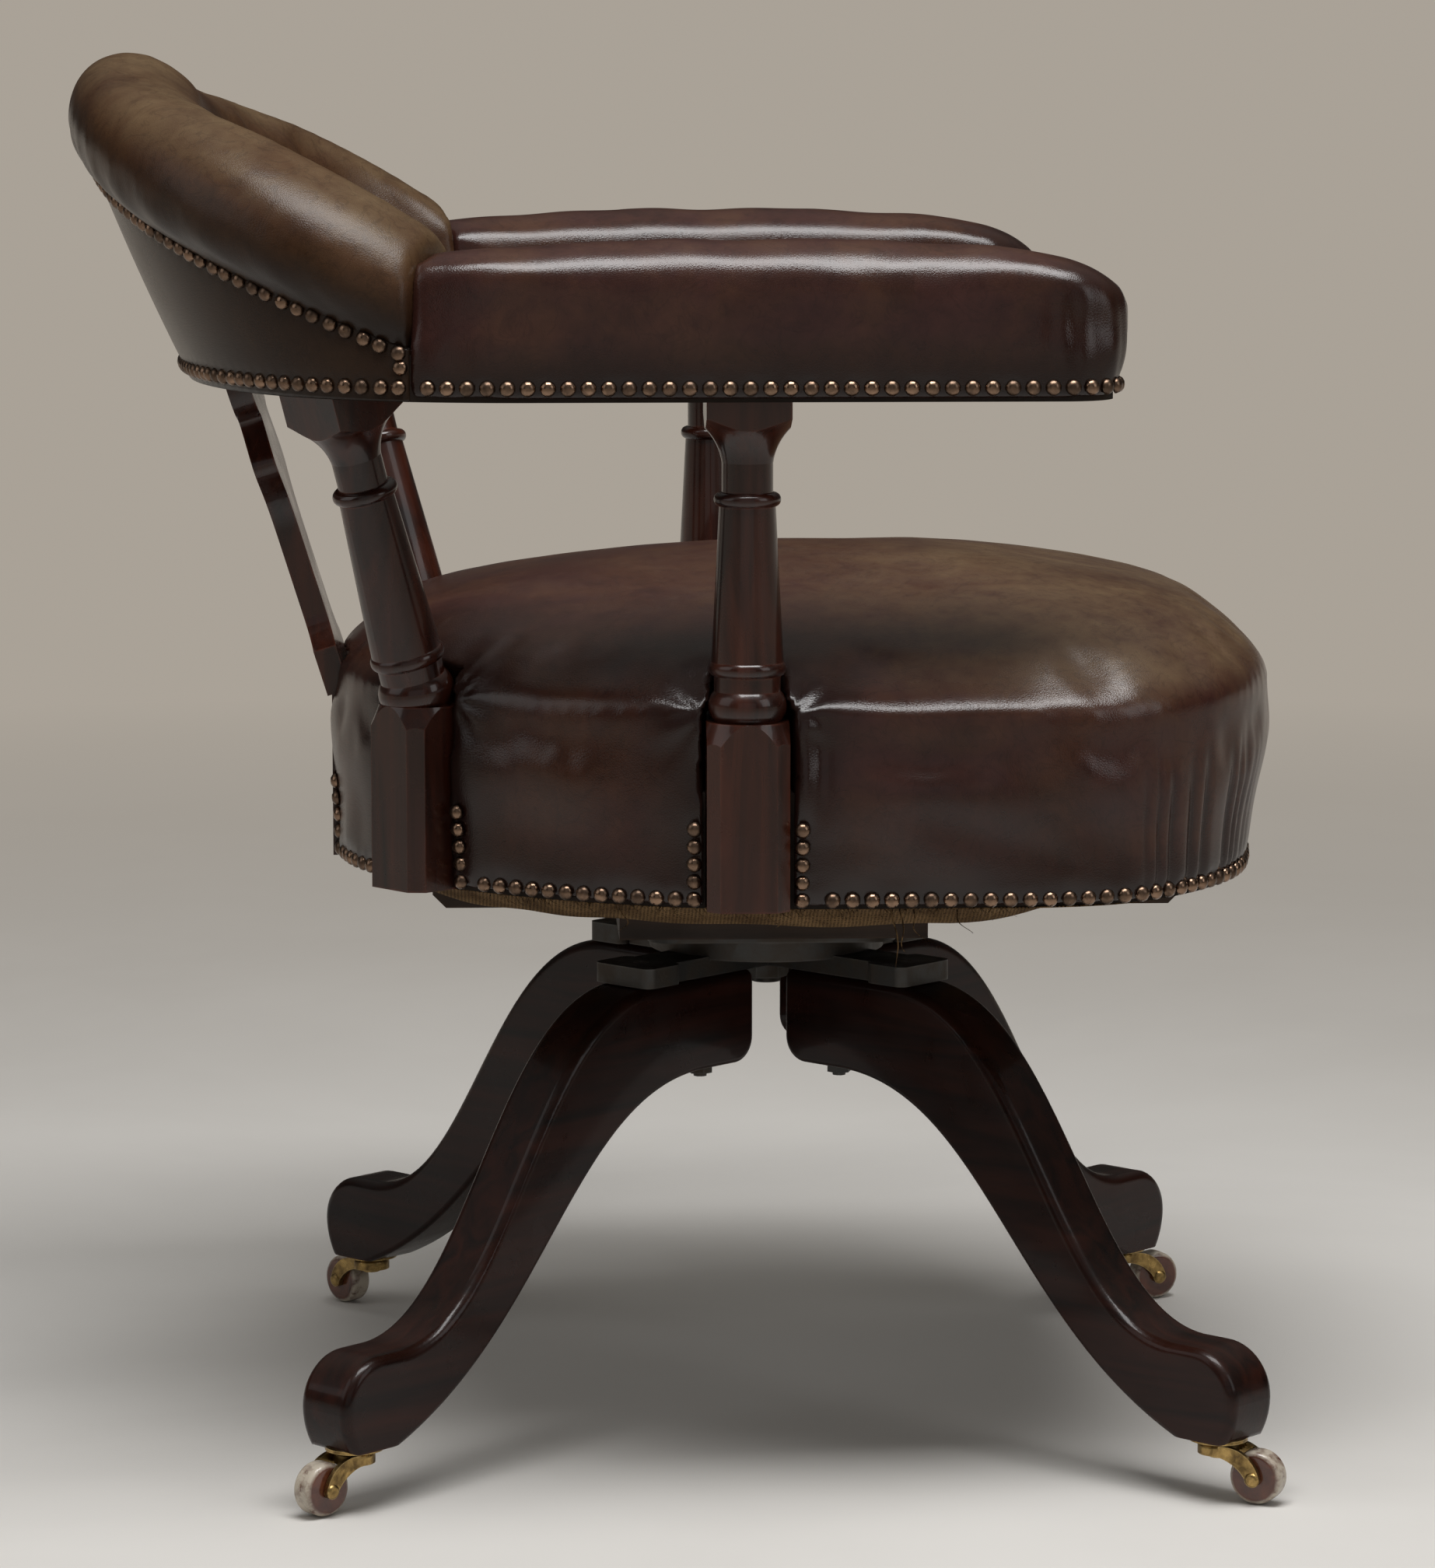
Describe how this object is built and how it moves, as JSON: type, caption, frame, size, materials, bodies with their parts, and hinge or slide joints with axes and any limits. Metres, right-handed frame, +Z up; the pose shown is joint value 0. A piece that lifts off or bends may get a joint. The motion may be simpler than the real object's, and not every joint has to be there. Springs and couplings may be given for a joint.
{
  "type": "captains chair",
  "caption": "Swivelling desk armchair with a domed leather seat, a horseshoe arm and back rail padded in leather, turned posts and an S-legged timber base on castors.",
  "frame": {"origin": "on the floor under the swivel axis", "axes": "+X to the front of the seat, +Y to the sitter's left, +Z up along the swivel axis"},
  "size_m": [0.7182, 0.5878, 0.8278],
  "materials": {
    "mahogany": "polished, very dark red-brown",
    "frame_timber": "plain, dusty, dark brown",
    "leather": "hand-dyed, waxed, worn lighter on top",
    "stuffing": "hair and wadding",
    "hessian": "coarse woven",
    "nail_brass": "antique bronze, domed",
    "castor_brass": "aged",
    "pot": "glazed pot, worn white band",
    "iron": "black, worn",
    "steel": "dull, darkened"
  },
  "bodies": {
    "base": {"leg_front_right": "mahogany", "leg_rear_right": "mahogany", "leg_rear_left": "mahogany", "leg_front_left": "mahogany", "castor_plate_front_right": "castor_brass", "castor_plate_rear_right": "castor_brass", "castor_plate_rear_left": "castor_brass", "castor_plate_front_left": "castor_brass", "castor_screws": "castor_brass", "leg_bolts": "steel", "leg_nuts": "steel", "leg_screws": "steel", "swivel_spider": "iron"},
    "seat": {"arm_cover_left": "leather", "arm_cover_right": "leather", "arm_nails_left": "nail_brass", "arm_nails_right": "nail_brass", "arm_rail_left": "frame_timber", "arm_rail_right": "frame_timber", "arm_stuffing_left": "stuffing", "arm_stuffing_right": "stuffing", "back_board": "frame_timber", "back_inside_cover": "leather", "back_nails": "nail_brass", "back_outside_cover": "leather", "back_rail": "frame_timber", "back_splat": "mahogany", "back_stuffing": "stuffing", "bearer_screws": "steel", "pivot_nut": "steel", "pivot_pin": "steel", "post_front_left": "mahogany", "post_front_right": "mahogany", "post_rear_left": "mahogany", "post_rear_right": "mahogany", "post_screws": "steel", "seat_bearer_left": "frame_timber", "seat_bearer_right": "frame_timber", "seat_cover": "leather", "seat_frame": "frame_timber", "seat_hessian": "hessian", "seat_nails": "nail_brass", "seat_springs": "steel", "seat_stuffing": "stuffing", "seat_webbing": "hessian", "swivel_block": "frame_timber", "swivel_plate": "steel", "swivel_plate_screws": "steel"},
    "fork_front_right": {"castor_fork_front_right": "castor_brass", "castor_axle_front_right": "castor_brass"},
    "wheel_front_right": {"castor_wheel_front_right": "pot"},
    "fork_rear_right": {"castor_fork_rear_right": "castor_brass", "castor_axle_rear_right": "castor_brass"},
    "wheel_rear_right": {"castor_wheel_rear_right": "pot"},
    "fork_rear_left": {"castor_fork_rear_left": "castor_brass", "castor_axle_rear_left": "castor_brass"},
    "wheel_rear_left": {"castor_wheel_rear_left": "pot"},
    "fork_front_left": {"castor_fork_front_left": "castor_brass", "castor_axle_front_left": "castor_brass"},
    "wheel_front_left": {"castor_wheel_front_left": "pot"}
  },
  "joints": [
    {"name": "seat_swivel", "type": "hinge", "parent": "base", "child": "seat", "pos_m": [0, 0, 0.2975], "axis": [0, 0, 1], "continuous": true},
    {"name": "castor_swivel_front_right", "type": "hinge", "parent": "base", "child": "fork_front_right", "pos_m": [0.24961, -0.24961, 0.03], "axis": [0, 0, 1], "continuous": true},
    {"name": "wheel_spin_front_right", "type": "hinge", "parent": "fork_front_right", "child": "wheel_front_right", "pos_m": [0.27141, -0.26184, 0.0155], "axis": [0.4894, 0.8721, 0], "continuous": true},
    {"name": "castor_swivel_rear_right", "type": "hinge", "parent": "base", "child": "fork_rear_right", "pos_m": [-0.24961, -0.24961, 0.03], "axis": [0, 0, 1], "continuous": true},
    {"name": "wheel_spin_rear_right", "type": "hinge", "parent": "fork_rear_right", "child": "wheel_rear_right", "pos_m": [-0.26856, -0.26591, 0.0155], "axis": [0.6521, -0.7581, 0], "continuous": true},
    {"name": "castor_swivel_rear_left", "type": "hinge", "parent": "base", "child": "fork_rear_left", "pos_m": [-0.24961, 0.24961, 0.03], "axis": [0, 0, 1], "continuous": true},
    {"name": "wheel_spin_rear_left", "type": "hinge", "parent": "fork_rear_left", "child": "wheel_rear_left", "pos_m": [-0.26575, 0.2687, 0.0155], "axis": [-0.7638, -0.6455, 0], "continuous": true},
    {"name": "castor_swivel_front_left", "type": "hinge", "parent": "base", "child": "fork_front_left", "pos_m": [0.24961, 0.24961, 0.03], "axis": [0, 0, 1], "continuous": true},
    {"name": "wheel_spin_front_left", "type": "hinge", "parent": "fork_front_left", "child": "wheel_front_left", "pos_m": [0.27322, 0.25783, 0.0155], "axis": [-0.3289, 0.9444, 0], "continuous": true}
  ]
}
